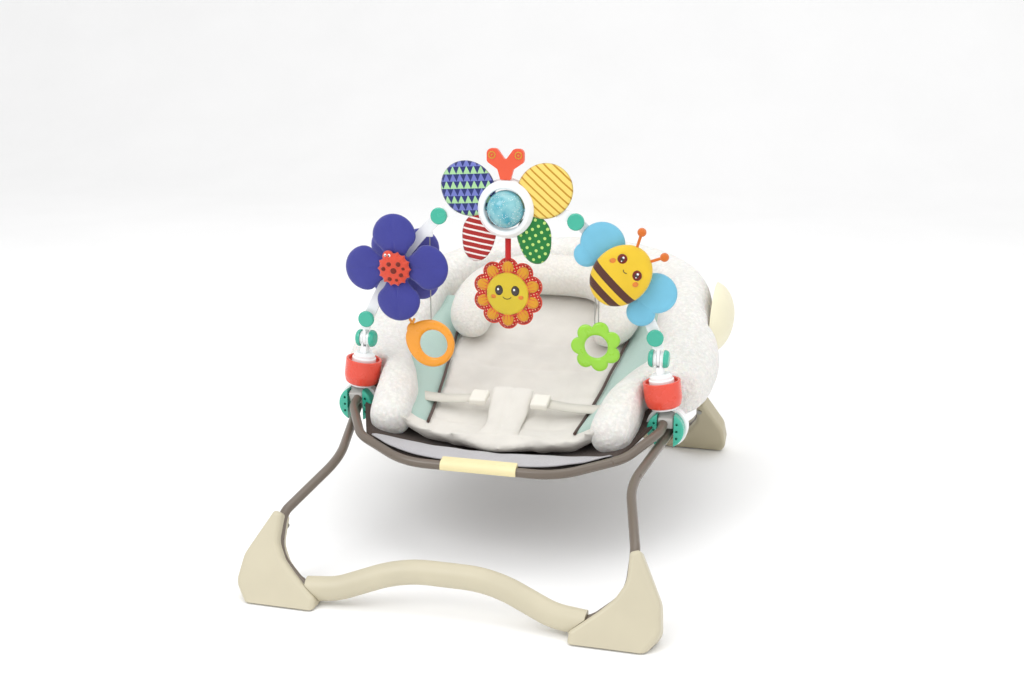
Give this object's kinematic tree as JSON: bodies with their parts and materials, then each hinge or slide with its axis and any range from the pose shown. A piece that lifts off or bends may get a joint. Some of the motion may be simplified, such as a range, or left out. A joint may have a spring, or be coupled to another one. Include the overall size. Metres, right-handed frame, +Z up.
{
  "type": "bouncer seat",
  "caption": "Baby bouncer seat: a tilted padded sling on a bent steel tube frame with flared feet, and a clamped toy arch with a rattle ball, cloth toys and hanging rings.",
  "frame": {"origin": "on the floor, below the middle of the whole object's box", "axes": "+X to the right seen from the front, +Y from the foot end to the head end, +Z up"},
  "size_m": [0.576, 0.7799, 0.548],
  "materials": {
    "frame_paint": "satin",
    "foot_plastic": "satin",
    "cover_plastic": "satin",
    "rubber_pad": "matte",
    "screw_steel": "satin",
    "grip_plastic": "satin",
    "joint_grey": "satin",
    "white_plastic": "gloss",
    "teal_plastic": "gloss",
    "red_plastic": "gloss",
    "ball_plastic": "gloss",
    "green_plastic": "gloss",
    "orange_plastic": "gloss",
    "blue_fabric": "matte",
    "bug_fabric": "matte",
    "wing_fabric": "matte",
    "orange_fabric": "matte",
    "bee_fabric": "matte",
    "sky_fabric": "matte",
    "sun_fabric": "matte",
    "ribbon_fabric": "matte",
    "cord": "matte",
    "plush": "matte",
    "ivory_fabric": "matte",
    "sling_fabric": "matte",
    "satin_fabric": "satin",
    "webbing": "matte"
  },
  "bodies": {
    "rear_base": {"rear_leg_tube": "frame_paint", "rear_foot_left": "foot_plastic", "rear_foot_right": "foot_plastic", "rear_crossbar_cover": "foot_plastic", "rear_foot_pads": "rubber_pad", "rear_foot_screws": "screw_steel"},
    "seat": {"seat_front_tube": "frame_paint", "seat_back_tube": "frame_paint", "side_joint_left": "joint_grey", "side_joint_right": "joint_grey", "rear_brackets": "joint_grey", "pivot_screws": "screw_steel", "front_clip": "grip_plastic", "clamp_housings": "white_plastic", "fixed_jaws": "teal_plastic", "clamp_collars": "white_plastic", "hinge_pins": "teal_plastic", "plush_bolster": "plush", "seat_sling": "sling_fabric", "seat_insert": "ivory_fabric", "head_pillow": "ivory_fabric", "seat_apron": "satin_fabric", "crotch_pad": "ivory_fabric", "waist_buckles": "white_plastic", "waist_belts": "webbing", "joint_cover_left": "cover_plastic", "joint_cover_right": "cover_plastic"},
    "front_base": {"front_leg_tube": "frame_paint", "front_foot_left": "foot_plastic", "front_foot_right": "foot_plastic", "front_crossbar_cover": "foot_plastic", "front_foot_pads": "rubber_pad", "front_foot_screws": "screw_steel"},
    "knob_left": {"clamp_knob_left": "red_plastic"},
    "knob_right": {"clamp_knob_right": "red_plastic"},
    "jaw_left": {"sliding_jaw_left": "teal_plastic"},
    "jaw_right": {"sliding_jaw_right": "teal_plastic"},
    "arch": {"lower_links": "white_plastic", "lower_buttons": "teal_plastic", "side_strap_left": "white_plastic", "side_strap_right": "white_plastic", "bee_body": "bee_fabric", "bee_wings": "sky_fabric", "bee_antennae": "orange_fabric", "crown_bar": "white_plastic", "upper_buttons": "teal_plastic", "medallion_ring": "white_plastic", "butterfly_wings": "wing_fabric", "butterfly_antennae": "red_plastic"},
    "ball": {"rattle_ball": "ball_plastic"},
    "flower": {"flower_axle": "white_plastic", "flower_front_petals": "blue_fabric", "flower_rear_petals": "blue_fabric", "flower_ladybug": "bug_fabric"},
    "sunflower_toy": {"sunflower": "sun_fabric", "sunflower_ribbon": "ribbon_fabric"},
    "snail": {"snail_ring": "orange_plastic", "snail_cord": "cord"},
    "teether": {"flower_teether": "green_plastic", "teether_cord": "cord"}
  },
  "joints": [
    {"name": "seat_bounce", "type": "hinge", "parent": "rear_base", "child": "seat", "pos_m": [0, 0.2695, 0.24], "axis": [1, 0, 0], "range_deg": [0, 2.5], "stiffness_Nm_per_rad": 300, "springref_deg": -4.3},
    {"name": "front_leg_flex", "type": "hinge", "parent": "seat", "child": "front_base", "pos_m": [0, -0.05099, 0.16268], "axis": [1, 0, 0], "range_deg": [-5.1, 0.1]},
    {"name": "knob_turn_left", "type": "hinge", "parent": "seat", "child": "knob_left", "pos_m": [-0.2273, -0.0555, 0.17], "axis": [0.1392, 0, 0.9903], "range_deg": [0, 270]},
    {"name": "knob_turn_right", "type": "hinge", "parent": "seat", "child": "knob_right", "pos_m": [0.2273, -0.0555, 0.17], "axis": [-0.1392, 0, 0.9903], "range_deg": [0, 270]},
    {"name": "jaw_slide_left", "type": "slide", "parent": "seat", "child": "jaw_left", "axis": [-1, 0, 0], "range_m": [0, 0.0041]},
    {"name": "jaw_slide_right", "type": "slide", "parent": "seat", "child": "jaw_right", "axis": [1, 0, 0], "range_m": [0, 0.0041]},
    {"name": "arch_tilt", "type": "hinge", "parent": "seat", "child": "arch", "pos_m": [0, -0.0555, 0.267], "axis": [1, 0, 0], "range_deg": [-40, 40]},
    {"name": "flower_spin", "type": "hinge", "parent": "arch", "child": "flower", "pos_m": [-0.157, -0.0555, 0.378], "axis": [0, 1, 0], "continuous": true},
    {"name": "ball_spin", "type": "hinge", "parent": "arch", "child": "ball", "pos_m": [0, -0.0675, 0.466], "axis": [1, 0, 0], "continuous": true},
    {"name": "sunflower_swing", "type": "hinge", "parent": "arch", "child": "sunflower_toy", "pos_m": [0, -0.056, 0.4242], "axis": [1, 0, 0], "range_deg": [-25, 25]},
    {"name": "snail_swing", "type": "hinge", "parent": "arch", "child": "snail", "pos_m": [-0.114, -0.0555, 0.4204], "axis": [1, 0, 0], "range_deg": [-5, 5]},
    {"name": "teether_swing", "type": "hinge", "parent": "arch", "child": "teether", "pos_m": [0.126, -0.0555, 0.4079], "axis": [1, 0, 0], "range_deg": [-3, 15]}
  ],
  "couplings": [
    {"joint": "front_leg_flex", "follows": "seat_bounce", "ratio": -1.995},
    {"joint": "jaw_slide_left", "follows": "knob_turn_left", "m_per_rad": 0.000849},
    {"joint": "jaw_slide_right", "follows": "knob_turn_right", "m_per_rad": 0.000849}
  ]
}
